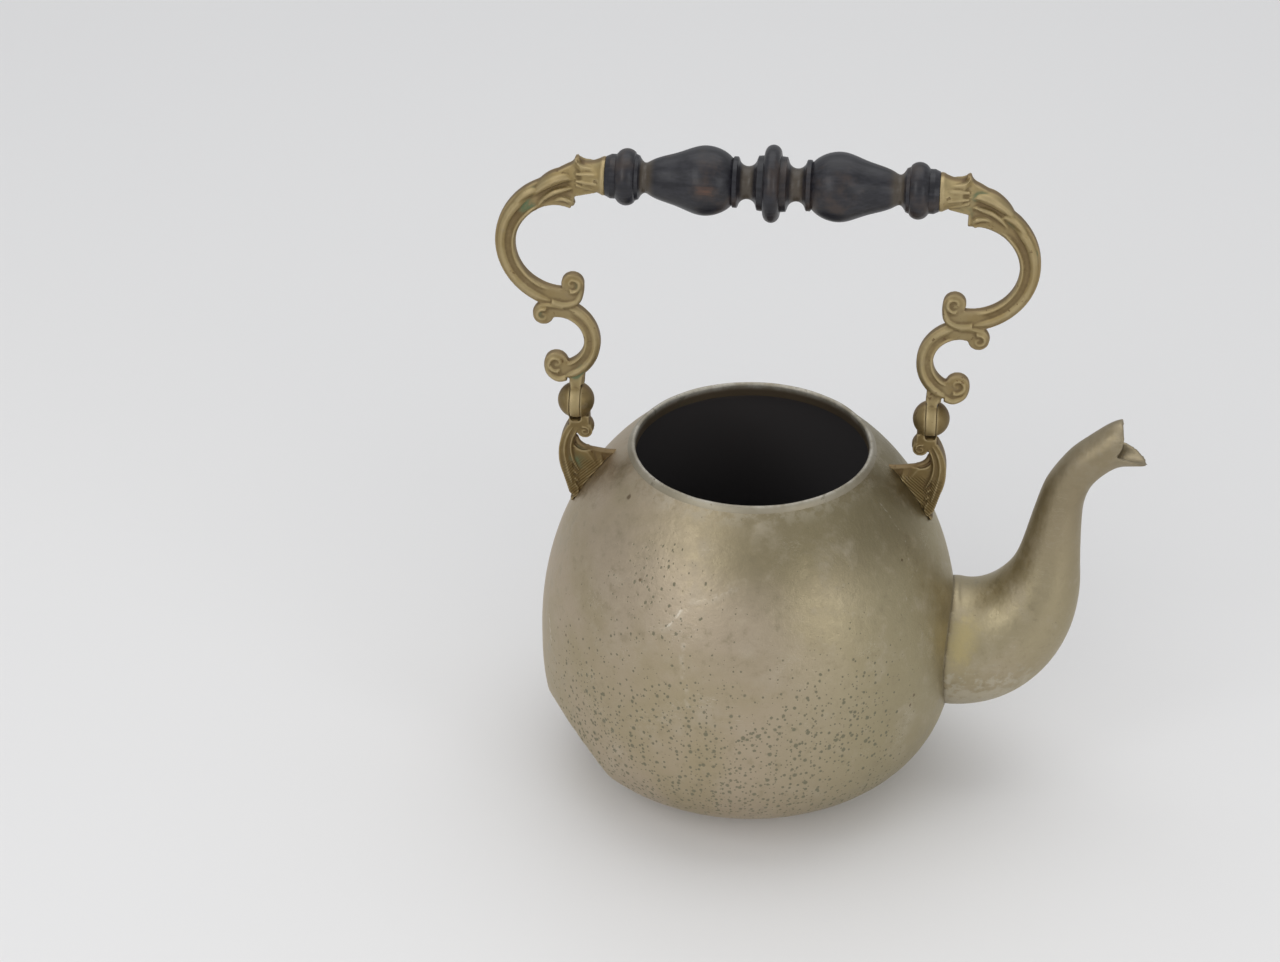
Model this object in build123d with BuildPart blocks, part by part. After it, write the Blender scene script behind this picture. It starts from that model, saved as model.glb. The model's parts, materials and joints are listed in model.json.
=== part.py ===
from build123d import *
import os
from math import cos, degrees, atan2, radians, sin

os.makedirs("parts", exist_ok=True)

# A tea kettle: a low round body of sheet metal, a curved spout, and a bail handle whose two cast
# scroll arms turn in forked balls on the shoulder.
# Millimetres, +Z up, +X towards the spout. The origin is the centre of the base.

# Body, a surface of revolution whose shoulder and belly are two superellipse quarters
body_radius = 66.5
widest_height = 48.0
rim_height = 114.9
rim_radius = 38.3
base_radius = 23.0
shoulder_power = 2.07
belly_power = 3.0
sheet = 1.2
curve_steps = 7
rim_overrun = 0.93

# Beaded ring at the mouth, with the seat band of a lid inside it
bead_height = 1.3
bead_width = 1.6
bead_overhang = -0.2
seat_wall = 0.7
seat_depth = 3.2

# Spout: the belly follows a quarter ellipse, then a straight neck, then a bend to the mouth
spout_root_height = 46.6
spout_root_radius = 20.7
spout_reach = 27.8
spout_rise = 37.4
spout_waist_radius = 8.9
spout_taper = 1.15
spout_turns = (0, 18, 36, 52, 66, 78, 90)
waist_lean = 86.0
neck_run = 16.5
neck_lean = 82.0
neck_radius = 7.2
bend_radius = 28.5
bend_end_lean = 36.0
throat_radius = 6.4
spout_wall = 1.2
spout_inside = 12.0
bore_overrun = 4.0
root_hole_margin = 2.0

# Beak: past the bend the spout grows taller, and its end is cut to a hood and a drooping lip.
# Each section is forward, up, lean and half height; the notch is forward and up. All are from the bend.
beak_sections = [(4.6, 3.1, 18.0, 7.3), (9.7, 3.9, 5.0, 7.5), (15.5, 3.2, -2.0, 7.7)]
notch_forward = 4.2
notch_up = 1.6
hood_bulge = 2.2
hood_rise = 5.3
lip_forward = 12.4
lip_drop = 8.4

# Hinges of the bail: a ball of two cheeks on each ear, a pin, and the arm's tongue between them
ear_foot_height = 93.5
ear_toe_set_back = 0.5
hinge_height = 128.4
ball_radius = 5.7
tongue = 3.2
tongue_clearance = 0.15
tongue_set_in = 0.15
hinge_pin_radius = 1.2
pin_seat_clearance = 0.02
pin_turn_clearance = 0.05
slot_floor = 6.8
slot_mouth_room = 1.0

# Outline of an ear: outwards from the line through the ball, and down from the ball's centre
rib_depth = 5.4
neck_width = 6.2
neck_set_in = 1.1
rib_top_out = 2.4
rib_top = 8.0
rib_bulge = 5.35
rib_bulge_drop = 16.5
rib_low_out = 4.1
rib_low_drop = 25.8
rib_foot_out = 2.2
rib_inner_out = 1.3
rib_inner_drop = 19.0
toe_height = 2.4
web_depth = 4.2
web_reach = 22.0
web_top = 18.2
web_inner = 9.9
web_dish = 1.0
throat_out = 0.5
throat_drop = 11.4
throat_low_drop = 15.6
curl_radius = 2.4
curl_in = 2.9
curl_drop = 9.8

# Arms of the bail: a small C scroll on the shank, and a big one from there up to the grip.
# The whole bail stands a little over towards the spout.
bail_lean = 3.3
arm_depth = 3.8
leaf_depth = 6.4
shank_width = 4.7
shank_rise = 5.9
shank_foot = 6.2
small_scroll_radius = 14.8
small_scroll_inward = 6.6
big_scroll_radius = 22.9
big_scroll_outward = 4.5
scroll_overlap = 3.4
scroll_end_set_back = 2.0
join_overlap = 1.0

# Circles that shape the scrolls, as (outwards, up, radius) from the centre of their scroll
small_eye_place = (-1.6, 0.4, 8.1)
low_volute_place = (-1.5, -7.7, 3.7)
low_roll_place = (-3.1, -7.7, 5.3)
high_volute_place = (3.3, 8.8, 3.2)
big_eye_place = (2.2, -1.2, 14.5)
big_volute_place = (-1.5, -13.8, 3.5)
big_roll_place = (1.3, -16.7, 6.15)

# Edges, spiral grooves, leaf and collar of the arms
spiral_shares = (0.74, 0.48, 0.20)
edge_width = 0.8
edge_step = 0.6
groove_width = 0.7
groove_depth = 0.6
grip_above_scroll = 0.6
collar_radius = 5.9
collar_land = 1.0
collar_hollow = (3.4, 4.8)
collar_neck_radius = 4.3
collar_taper = 6.4
collar_end_radius = 2.7
collar_length = 8.6

# Outline of the leaf, as (outwards, up) from the wood's end on the grip's axis
leaf_start = (3.0, 3.6)
leaf_top = (6.6, 4.1)
leaf_crest = [(8.2, 5.0), (9.1, 6.4)]
leaf_back = [(9.9, 4.4), (11.4, 3.3)]
leaf_long_edge = [(16.4, 0.2), (21.0, -3.6)]
leaf_tip = (18.4, -10.6)
leaf_under = [(14.6, -10.1), (10.8, -11.0)]
leaf_foot = [(10.3, -8.8), (9.4, -6.8)]
leaf_root = (3.0, -4.4)

# Turned wooden grip, as (along, radius): first from its middle, then back from its end
grip_set_back = 5.3
ring_radius = 11.7
ring_edge = [(1.8, 10.9), (2.4, 8.4)]
ring_step = [(4.3, 8.2), (4.7, 7.2)]
cove = [(7.3, 4.95), (10.1, 7.2)]
vase_foot = [(10.4, 7.7), (11.6, 7.7), (12.0, 7.1)]
vase_belly = [(15.6, 9.6), (20.6, 10.5), (28.4, 8.1)]
vase_end = [(13.2, 5.15), (9.9, 6.6)]
end_step = [(8.9, 7.0), (8.6, 7.6)]
end_bead = [(6.2, 8.6), (3.4, 7.2)]
end_land = [(3.0, 6.7), (1.5, 6.7), (0.0, 6.0)]

# Iron rod through the grip, and its cross pins
rod_radius = 1.5
rod_clearance = 0.05
rod_in_socket = 7.0
rod_end_room = 0.3
lock_pin_radius = 0.6
lock_pin_set = 2.8


def superellipse(share, power):
    """The other share of a superellipse quarter whose half axes are 1."""
    return (1 - share**power) ** (1 / power)


shoulder_reach = (rim_height - widest_height) / superellipse(rim_radius / body_radius, shoulder_power)
belly_reach = widest_height / superellipse(base_radius / body_radius, belly_power)


def body_point(radius_share, power, reach, side, inset):
    """A point of the body's section, moved inwards along its normal by the inset."""
    height_share = superellipse(radius_share, power)
    normal = Vector(radius_share ** (power - 1) / body_radius, side * height_share ** (power - 1) / reach)
    normal = normal.normalized()
    radius = body_radius * radius_share - normal.X * inset
    return (radius, widest_height + side * reach * height_share - normal.Y * inset)


def body_curve(inset):
    """Points of the body's section from the base edge, over the belly, to just past the rim."""
    points = []
    belly_turn = 90 - degrees(atan2(widest_height, base_radius))
    for step in range(curve_steps):
        turn = radians(belly_turn + (90 - belly_turn) * step / curve_steps)
        share = sin(turn) ** (2 / belly_power)
        if step == 0:
            share = base_radius / body_radius
        points.append(body_point(share, belly_power, belly_reach, -1, inset))
    past_rim = rim_overrun * rim_radius / body_radius
    last_turn = atan2(superellipse(past_rim, 2), past_rim)
    for step in range(curve_steps + 1):
        share = cos(last_turn * step / curve_steps) ** (2 / shoulder_power)
        points.append(body_point(share, shoulder_power, shoulder_reach, 1, inset))
    return points


def body_outer_radius(height):
    """The body's radius at a height on the shoulder."""
    return body_radius * superellipse((height - widest_height) / shoulder_reach, shoulder_power)


# Solid form of the body, which the spout and the ears are cut to
with BuildPart() as body_form:
    with BuildSketch(Plane.YZ):
        with BuildLine():
            outer = Spline(*body_curve(0))
            Line(outer @ 1, (0, (outer @ 1).Y))
            Line((0, (outer @ 1).Y), (0, 0))
            Line((0, 0), outer @ 0)
        make_face()
    revolve(axis=Axis.Z)
    split(bisect_by=Plane.XY.offset(rim_height), keep=Keep.BOTTOM)

# Where the spout's centre line ends its quarter ellipse, and where the neck ends
waist_x = body_radius + spout_reach
waist_z = spout_root_height + spout_rise
neck_x = waist_x + neck_run * cos(radians(neck_lean))
neck_z = waist_z + neck_run * sin(radians(neck_lean))
notch_x = neck_x + bend_radius * (sin(radians(neck_lean)) - sin(radians(bend_end_lean))) + notch_forward
notch_z = neck_z + bend_radius * (cos(radians(bend_end_lean)) - cos(radians(neck_lean))) + notch_up


def spout_stations(wall):
    """Centres, leans and half sizes (upright, across) of the spout's sections, from inside the body."""
    overrun = bore_overrun if wall else 0
    start_x = body_radius - spout_inside - overrun
    stations = [(start_x, spout_root_height, 0, spout_root_radius, spout_root_radius)]
    for turn in spout_turns:
        x = body_radius + spout_reach * sin(radians(turn))
        z = waist_z - spout_rise * cos(radians(turn))
        lean = degrees(atan2(spout_rise * sin(radians(turn)), spout_reach * cos(radians(turn))))
        fullness = cos(radians(turn)) ** spout_taper
        radius = spout_waist_radius + (spout_root_radius - spout_waist_radius) * fullness
        stations.append((x, z, min(lean, waist_lean), radius, radius))
    middle_radius = (neck_radius + spout_waist_radius) / 2
    middle = ((neck_x + waist_x) / 2, (neck_z + waist_z) / 2)
    stations.append((*middle, (neck_lean + waist_lean) / 2, middle_radius, middle_radius))
    for step in range(5):
        lean = neck_lean + (bend_end_lean - neck_lean) * step / 4
        x = neck_x + bend_radius * (sin(radians(neck_lean)) - sin(radians(lean)))
        z = neck_z + bend_radius * (cos(radians(lean)) - cos(radians(neck_lean)))
        radius = neck_radius + (throat_radius - neck_radius) * min(1, step / 2)
        stations.append((x, z, lean, radius, radius))
    for forward, up, lean, half_height in beak_sections:
        stations.append((x + forward, z + up, lean, half_height, throat_radius))
    if wall:
        stations.append((x + forward + overrun, z + up, lean, half_height, throat_radius))
    return stations


def spout_sections(wall):
    """The spout's sections as faces, each drawn in by the wall."""
    faces = []
    for x, z, lean, half_height, half_width in spout_stations(wall):
        facing = (cos(radians(lean)), 0, sin(radians(lean)))
        down = (sin(radians(lean)), 0, -cos(radians(lean)))
        with BuildSketch(Plane(origin=(x, 0, z), x_dir=down, z_dir=facing)) as section:
            if half_height > half_width:
                Ellipse(half_height - wall, half_width - wall)
            else:
                Circle(half_width - wall)
        faces.append(section.sketch.face())
    return faces


with BuildPart() as spout_bore:
    loft(spout_sections(spout_wall))

with BuildPart() as spout:
    loft(spout_sections(0))
    with BuildSketch(Plane.XZ):
        with BuildLine():
            hood = ThreePointArc(
                (notch_x, notch_z),
                (notch_x + hood_bulge, notch_z + hood_rise),
                (notch_x + 0.3 * hood_bulge, notch_z + 2.2 * hood_rise),
            )
            lip = ThreePointArc(
                (notch_x + lip_forward, notch_z - lip_drop),
                (notch_x + 0.45 * lip_forward, notch_z - 0.22 * lip_drop),
                (notch_x, notch_z),
            )
            Polyline(
                hood @ 1,
                (notch_x + 2 * lip_forward, notch_z + 2.2 * hood_rise),
                (notch_x + 2 * lip_forward, notch_z - lip_drop),
                lip @ 0,
            )
        make_face()
    extrude(amount=2 * throat_radius, both=True, mode=Mode.SUBTRACT)
    add(spout_bore.part, mode=Mode.SUBTRACT)
    add(body_form.part, mode=Mode.SUBTRACT)
spout.part.label = "spout"
export_step(spout.part, "parts/spout.step")

bead_out = rim_radius + bead_overhang
bead_in = bead_out - bead_width
bead_top = rim_height + bead_height
bead_middle = rim_height + bead_height / 2

# Sheet body, open at the mouth, with the hole behind the spout
with BuildPart() as body_shell:
    add(body_form.part)
    with BuildSketch(Plane.YZ):
        with BuildLine():
            inner = Spline(*body_curve(sheet))
            Line(inner @ 1, (0, (inner @ 1).Y))
            Line((0, (inner @ 1).Y), (0, (inner @ 0).Y))
            Line((0, (inner @ 0).Y), inner @ 0)
        make_face()
    revolve(axis=Axis.Z, mode=Mode.SUBTRACT)
    with BuildSketch(Plane.XY.offset(widest_height)):
        Circle(bead_in + seat_wall)
    extrude(amount=rim_height, mode=Mode.SUBTRACT)
    with BuildSketch(Plane.YZ.offset(body_radius / 2)):
        with Locations((0, spout_root_height)):
            Circle(spout_root_radius - spout_wall - root_hole_margin)
    extrude(amount=body_radius, mode=Mode.SUBTRACT)
body_shell.part.label = "body_shell"
export_step(body_shell.part, "parts/body_shell.step")

# Rim ring: a bead on the sheet's edge, and the seat band that hangs inside the mouth
with BuildPart() as rim_ring:
    with BuildSketch(Plane.XZ):
        with BuildLine():
            Polyline(
                (bead_in, bead_middle),
                (bead_in, rim_height - seat_depth),
                (bead_in + seat_wall, rim_height - seat_depth),
                (bead_in + seat_wall, rim_height),
                (bead_out - bead_height / 2, rim_height),
            )
            ThreePointArc(
                (bead_out - bead_height / 2, rim_height),
                (bead_out, bead_middle),
                (bead_out - bead_height / 2, bead_top),
            )
            Line((bead_out - bead_height / 2, bead_top), (bead_in + bead_height / 2, bead_top))
            RadiusArc((bead_in + bead_height / 2, bead_top), (bead_in, bead_middle), -bead_height / 2)
        make_face()
    revolve(axis=Axis.Z)
rim_ring.part.label = "rim_ring"
export_step(rim_ring.part, "parts/rim_ring.step")

# The bail turns about a line through both balls, so all that follows is placed from them
hinge_x = body_outer_radius(ear_foot_height) - ear_toe_set_back
hinge_plane = Plane(origin=(hinge_x, 0, hinge_height), x_dir=(1, 0, 0), z_dir=(0, -1, 0))
foot_drop = hinge_height - ear_foot_height
slot_half = tongue / 2 + tongue_clearance

# Ear at the spout: a bulging rib on the shoulder, a web behind it, a curl and the forked ball
with BuildPart() as front_ear:
    with BuildSketch(hinge_plane):
        with BuildLine():
            bulge = ThreePointArc(
                (rib_top_out, -rib_top), (rib_bulge, -rib_bulge_drop), (rib_low_out, -rib_low_drop)
            )
            Polyline(
                bulge @ 1,
                (rib_foot_out, toe_height - foot_drop),
                (0, -foot_drop),
                (-web_reach, -foot_drop),
                (-web_reach, -web_top),
                (-web_inner, -web_top),
            )
            top_edge = ThreePointArc(
                (-web_inner, -web_top),
                (-0.65 * web_inner, 0.5 * web_dish - web_top),
                (-0.35 * web_inner, web_dish - web_top),
            )
            ThreePointArc(top_edge @ 1, (throat_out, -throat_low_drop), (throat_out, -throat_drop))
            Polyline((throat_out, -throat_drop), (throat_out, -rib_top), bulge @ 0)
        make_face()
    extrude(amount=web_depth / 2, both=True)
    with BuildSketch(hinge_plane):
        with BuildLine():
            rib = ThreePointArc(
                (rib_top_out, -rib_top), (rib_bulge, -rib_bulge_drop), (rib_low_out, -rib_low_drop)
            )
            Polyline(
                rib @ 1,
                (rib_foot_out, toe_height - foot_drop),
                (0, -foot_drop),
                (-0.5 * rib_foot_out, toe_height - foot_drop),
            )
            ThreePointArc(
                (-0.5 * rib_foot_out, toe_height - foot_drop),
                (rib_inner_out, -rib_inner_drop),
                (throat_out, -throat_drop),
            )
            Polyline((throat_out, -throat_drop), (-neck_set_in, -rib_top), rib @ 0)
        make_face()
        with Locations((-curl_in, -curl_drop)):
            Circle(curl_radius)
        with Locations((-neck_set_in, -(rib_top + ball_radius) / 2)):
            Rectangle(neck_width, rib_top - ball_radius + curl_radius)
    extrude(amount=rib_depth / 2, both=True)
    with Locations((hinge_x, 0, hinge_height)):
        Sphere(ball_radius, rotation=(0, 0, 90))
    with BuildSketch(hinge_plane):
        with Locations((0, (ball_radius - slot_floor) / 2 + slot_mouth_room)):
            SlotOverall(ball_radius + slot_floor + 2 * slot_mouth_room, 2 * slot_half, rotation=90)
    extrude(amount=2 * ball_radius, both=True, mode=Mode.SUBTRACT)
    with BuildSketch(Plane.YZ.offset(hinge_x - 2 * ball_radius)):
        with Locations((0, hinge_height)):
            Circle(hinge_pin_radius + pin_seat_clearance)
    extrude(amount=4 * ball_radius, mode=Mode.SUBTRACT)
    add(body_form.part, mode=Mode.SUBTRACT)
front_ear.part.label = "front_ear"
export_step(front_ear.part, "parts/front_ear.step")

# Hinge pin, riveted over and dressed to the round of the ball
with BuildPart() as front_hinge_pin:
    with BuildSketch(Plane.YZ.offset(hinge_x - 2 * ball_radius)):
        with Locations((0, hinge_height)):
            Circle(hinge_pin_radius)
    extrude(amount=4 * ball_radius)
    with Locations((hinge_x, 0, hinge_height)):
        Sphere(ball_radius, rotation=(0, 0, 90), mode=Mode.INTERSECT)
front_hinge_pin.part.label = "front_hinge_pin"
export_step(front_hinge_pin.part, "parts/front_hinge_pin.step")

# Centres of the scrolls and the grip, from the ball outwards (u) and along the lean (v)
small_u = small_scroll_radius - small_scroll_inward
small_v = shank_rise + small_scroll_radius
big_u = big_scroll_outward
big_v = small_v + small_scroll_radius + big_scroll_radius - scroll_overlap
grip_v = big_v + big_scroll_radius + grip_above_scroll
lean_across = sin(radians(bail_lean))
lean_up = cos(radians(bail_lean))
grip_x = grip_v * lean_across
grip_height = hinge_height + grip_v * lean_up
half_grip = hinge_x - grip_set_back
grip_line = Axis((0, 0, grip_height), (1, 0, 0))
socket_top = collar_hollow[1]


def placed(centre, place):
    """A circle's centre u, centre v and radius, from its scroll's centre and its place there."""
    return (centre[0] + place[0], centre[1] + place[1], place[2])


# Outlines of the scrolls: circles as centre u, centre v and radius, and the gaps where each C is open
small_ring = (small_u, small_v, small_scroll_radius)
small_eye = placed(small_ring, small_eye_place)
low_volute = placed(small_ring, low_volute_place)
low_roll = placed(small_ring, low_roll_place)
high_volute = placed(small_ring, high_volute_place)
big_ring = (big_u, big_v, big_scroll_radius)
big_eye = placed(big_ring, big_eye_place)
big_volute = placed(big_ring, big_volute_place)
big_roll = placed(big_ring, big_roll_place)
far = 5 * big_scroll_radius
small_gap = [
    small_eye[:2],
    high_volute[:2],
    (high_volute[0], far),
    (far, far),
    (far, -far),
    (shank_width / 2, -far),
    (shank_width / 2, low_roll[1]),
]
big_gap = [
    big_eye[:2],
    big_roll[:2],
    (big_roll[0], -far),
    (-far, -far),
    (-far, far),
    (big_u - scroll_end_set_back, far),
    (big_u, big_v),
]


def disc(place, growth=0.0, mode=Mode.ADD):
    """A disc at a place, which is its centre u, centre v and radius."""
    with Locations(place[:2]):
        Circle(place[2] + growth, mode=mode)


def scroll(ring, eye, gap_corners, roll, volute, inset):
    """A C: a ring with its eye out of centre, open at a gap, with one end rolled into a volute."""
    disc(ring, -inset)
    disc(eye, inset, Mode.SUBTRACT)
    Polygon(*gap_corners, align=None, mode=Mode.SUBTRACT)
    disc(roll, -inset)
    disc(eye, inset, Mode.SUBTRACT)
    disc(volute, -inset)


def spiral_groove(place, start, side):
    """A groove that winds into a volute in half turns, each tighter than the last."""
    u, v, size = place
    radii = [size * share for share in spiral_shares]
    with BuildLine() as spiral:
        for step in range(len(radii) - 1):
            turn = radians(start + side * 180 * step)
            across = radians(start + side * (180 * step + 90))
            middle = (radii[step] + radii[step + 1]) / 2
            ThreePointArc(
                (u + radii[step] * cos(turn), v + radii[step] * sin(turn)),
                (u + middle * cos(across), v + middle * sin(across)),
                (u - radii[step + 1] * cos(turn), v - radii[step + 1] * sin(turn)),
            )
    trace(spiral.edges(), line_width=groove_width)


# Middle of the ball, which is the arm's tongue
with BuildPart() as tongue_disc:
    Sphere(ball_radius - tongue_set_in, rotation=(0, 0, 90))
    Box(tongue, 2 * ball_radius, 2 * ball_radius, mode=Mode.INTERSECT)

# Arms of the bail. Both scrolls, their volutes, the shank, the leaf and the socket are one casting.
for name, side in (("front", 1), ("back", -1)):
    ball_x = side * hinge_x
    wood_x = grip_x + side * half_grip
    scroll_plane = Plane(
        origin=(ball_x, 0, hinge_height),
        x_dir=(side * lean_up, 0, -side * lean_across),
        z_dir=(0, -side, 0),
    )
    socket_plane = Plane(origin=(wood_x, 0, grip_height), x_dir=(side, 0, 0), z_dir=(0, -side, 0))
    with BuildPart() as arm:
        for inset, half_depth in ((0, arm_depth / 2 - edge_step), (edge_width, arm_depth / 2)):
            with BuildSketch(scroll_plane):
                scroll(small_ring, small_eye, small_gap, low_roll, low_volute, inset)
                disc(high_volute, -inset)
                with Locations((0, (shank_foot + low_roll[1]) / 2)):
                    Rectangle(shank_width - 2 * inset, low_roll[1] - shank_foot)
            extrude(amount=half_depth, both=True)
            with BuildSketch(scroll_plane):
                scroll(big_ring, big_eye, big_gap, big_roll, big_volute, inset)
            extrude(amount=half_depth, both=True)
        for depth in (arm_depth / 2 - groove_depth, -arm_depth / 2):
            with BuildSketch(scroll_plane.offset(depth)):
                spiral_groove(low_volute, 270, 1)
                spiral_groove(high_volute, 90, -1)
                spiral_groove(big_volute, 270, -1)
            extrude(amount=groove_depth, mode=Mode.SUBTRACT)
        with BuildSketch(socket_plane):
            with BuildLine():
                Line(leaf_start, leaf_top)
                ThreePointArc(leaf_top, *leaf_crest)
                ThreePointArc(leaf_crest[-1], *leaf_back)
                ThreePointArc(leaf_back[-1], *leaf_long_edge)
                Line(leaf_long_edge[-1], leaf_tip)
                ThreePointArc(leaf_tip, *leaf_under)
                ThreePointArc(leaf_under[-1], *leaf_foot)
                Polyline(leaf_foot[-1], leaf_root, leaf_start)
            make_face()
        extrude(amount=leaf_depth / 2, both=True)
        with BuildSketch(socket_plane):
            with BuildLine():
                Polyline((0, 0), (0, collar_radius), (collar_land, collar_radius))
                ThreePointArc(
                    (collar_land, collar_radius), collar_hollow, (collar_taper, collar_neck_radius)
                )
                Polyline(
                    (collar_taper, collar_neck_radius),
                    (collar_length, collar_end_radius),
                    (collar_length, 0),
                    (0, 0),
                )
            make_face()
        revolve(axis=grip_line)
        with BuildSketch(Plane.XY.offset(hinge_height)):
            with Locations((ball_x, 0)):
                Rectangle(tongue, arm_depth)
        extrude(amount=shank_foot + join_overlap)
        add(tongue_disc.part.moved(Location((ball_x, 0, hinge_height))))
        with BuildSketch(Plane.YZ.offset(ball_x - tongue)):
            with Locations((0, hinge_height)):
                Circle(hinge_pin_radius + pin_turn_clearance)
        extrude(amount=2 * tongue, mode=Mode.SUBTRACT)
        with BuildSketch(Plane.YZ.offset(wood_x - side * join_overlap)):
            with Locations((0, grip_height)):
                Circle(rod_radius + rod_clearance)
        extrude(amount=side * (rod_in_socket + rod_end_room + join_overlap), mode=Mode.SUBTRACT)
        with BuildSketch(Plane.XZ.offset(-collar_radius)):
            with Locations((wood_x + side * lock_pin_set, grip_height)):
                Circle(lock_pin_radius + pin_seat_clearance)
        extrude(amount=2 * collar_radius, mode=Mode.SUBTRACT)
    arm.part.label = f"{name}_arm"
    export_step(arm.part, f"parts/{name}_arm.step")

    # Cross pin through the socket and the rod, filed flush with the collar
    with BuildPart() as arm_pin:
        with BuildSketch(Plane.XZ.offset(-collar_radius)):
            with Locations((wood_x + side * lock_pin_set, grip_height)):
                Circle(lock_pin_radius)
        extrude(amount=2 * collar_radius)
        with BuildSketch(Plane.YZ.offset(wood_x)):
            with Locations((0, grip_height)):
                Circle(socket_top)
        extrude(amount=2 * side * lock_pin_set, mode=Mode.INTERSECT)
    arm_pin.part.label = f"{name}_arm_pin"
    export_step(arm_pin.part, f"parts/{name}_arm_pin.step")

# The other end of the kettle has the same ear and hinge pin, turned round
for name, original in (("back_ear", front_ear), ("back_hinge_pin", front_hinge_pin)):
    with BuildPart() as other:
        mirror(original.part, about=Plane.YZ)
    other.part.label = name
    export_step(other.part, f"parts/{name}.step")

# Grip, one turned piece: a ring in the middle, coves, two vases, and a bead near each end
with BuildPart() as grip:
    with BuildSketch(Plane.XZ.shift_origin((grip_x, 0, grip_height))):
        with BuildLine():
            Line((0, 0), (0, ring_radius))
            ThreePointArc((0, ring_radius), *ring_edge)
            Polyline(ring_edge[-1], *ring_step)
            ThreePointArc(ring_step[-1], *cove)
            Polyline(cove[-1], *vase_foot)
            neck, bead_foot, bead, land = [
                [(half_grip - back, radius) for back, radius in points]
                for points in (vase_end, end_step, end_bead, end_land)
            ]
            Spline(vase_foot[-1], *vase_belly, *neck, tangents=[(1, 1.1), (0.5, 1)])
            Polyline(neck[-1], *bead_foot)
            ThreePointArc(bead_foot[-1], *bead)
            Polyline(bead[-1], *land, (half_grip, 0), (0, 0))
        make_face()
    revolve(axis=grip_line)
    mirror(about=Plane.YZ.offset(grip_x))
    with BuildSketch(Plane.YZ.offset(grip_x - half_grip)):
        with Locations((0, grip_height)):
            Circle(rod_radius + rod_clearance)
    extrude(amount=2 * half_grip, mode=Mode.SUBTRACT)
grip.part.label = "grip"
export_step(grip.part, "parts/grip.step")

# Iron rod from socket to socket, drilled for the cross pins
with BuildPart() as tie_rod:
    with BuildSketch(Plane.YZ.offset(grip_x - half_grip - rod_in_socket)):
        with Locations((0, grip_height)):
            Circle(rod_radius)
    extrude(amount=2 * (half_grip + rod_in_socket))
    for side in (-1, 1):
        with BuildSketch(Plane.XZ.offset(-collar_radius)):
            with Locations((grip_x + side * (half_grip + lock_pin_set), grip_height)):
                Circle(lock_pin_radius + pin_seat_clearance)
        extrude(amount=2 * collar_radius, mode=Mode.SUBTRACT)
tie_rod.part.label = "tie_rod"
export_step(tie_rod.part, "parts/tie_rod.step")
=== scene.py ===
# %% [markdown]
# # An old tea kettle, from its CAD solids to a worn metal look
#
# The kettle is a spun body of nickel-plated brass with a curved spout. Its bail has two cast brass
# arms with C scrolls and a turned, blackened wooden grip. The CAD solids give every place and size.
# This lesson dents the body, smooths the spout, puts the casting detail on the arms and ears, and
# makes the finishes.

# %% Load the solids
import json
import math

import bpy
import numpy as np
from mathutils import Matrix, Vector, noise

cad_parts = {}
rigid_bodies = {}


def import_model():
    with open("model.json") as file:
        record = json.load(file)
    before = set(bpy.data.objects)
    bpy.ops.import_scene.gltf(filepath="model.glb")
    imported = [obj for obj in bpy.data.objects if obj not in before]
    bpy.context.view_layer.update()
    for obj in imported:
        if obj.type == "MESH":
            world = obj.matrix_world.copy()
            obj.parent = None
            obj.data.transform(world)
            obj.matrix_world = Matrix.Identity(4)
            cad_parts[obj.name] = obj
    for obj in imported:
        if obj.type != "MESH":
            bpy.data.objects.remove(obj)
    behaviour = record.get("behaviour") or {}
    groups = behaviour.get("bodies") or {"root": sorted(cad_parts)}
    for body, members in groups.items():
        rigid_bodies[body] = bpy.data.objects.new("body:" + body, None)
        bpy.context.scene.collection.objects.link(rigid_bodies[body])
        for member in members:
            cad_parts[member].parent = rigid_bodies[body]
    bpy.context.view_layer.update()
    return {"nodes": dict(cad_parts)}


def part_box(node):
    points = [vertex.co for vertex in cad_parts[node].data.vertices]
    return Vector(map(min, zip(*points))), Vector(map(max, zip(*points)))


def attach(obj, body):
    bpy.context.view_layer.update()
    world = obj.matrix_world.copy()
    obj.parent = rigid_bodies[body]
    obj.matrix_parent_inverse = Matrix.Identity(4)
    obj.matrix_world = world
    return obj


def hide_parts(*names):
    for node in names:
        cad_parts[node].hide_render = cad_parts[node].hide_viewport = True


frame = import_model()
nodes = frame["nodes"]
print("solids:", sorted(nodes))

# %% Sizes in metres
MM = 0.001
BODY_RADIUS = 0.0665
WIDEST = 0.048  # height at which the body is widest
RIM_HEIGHT = 0.1149
RIM_RADIUS = 0.0383
BASE_RADIUS = 0.023
SHEET = 0.0012
SPOUT_HEIGHT = 0.0466  # middle of the spout's root
SPOUT_ROOT = 0.0207  # its radius
SPOUT_HOLE = 0.0175  # radius of the hole behind it
# How full the two quarters of the body's curve are: 2 is an ellipse
SHOULDER_POWER = 2.07
BELLY_POWER = 3.0
print("body:", 2 * BODY_RADIUS, "m wide,", RIM_HEIGHT, "m up to the rim")

# %% [markdown]
# ## Camera
#
# A long lens stands 1.2 metres away and looks down on the kettle by 32 degrees. The lens stands 6
# degrees to one side, so the spout comes a little towards it.

# %% Camera
LENS_PLACE = (0.06555, -0.95890, 0.69870)
LENS_TURN = (math.radians(58.149), 0, math.radians(6.0))
bpy.ops.object.select_all(action="DESELECT")
bpy.ops.object.camera_add(location=LENS_PLACE, rotation=LENS_TURN)
camera = bpy.context.object
camera.name = "camera"
camera.data.lens = 101.25
camera.data.sensor_width = 36.0
camera.data.clip_end = 20.0
bpy.context.scene.camera = camera
print("camera at", [round(c, 3) for c in camera.location])

# %% [markdown]
# ## Shader helpers
#
# Shader maths reads best as ordinary arithmetic. `Val` wraps a socket, and each operator adds one
# Math node. `Finish` starts a material and adds any other node in one call.

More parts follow.
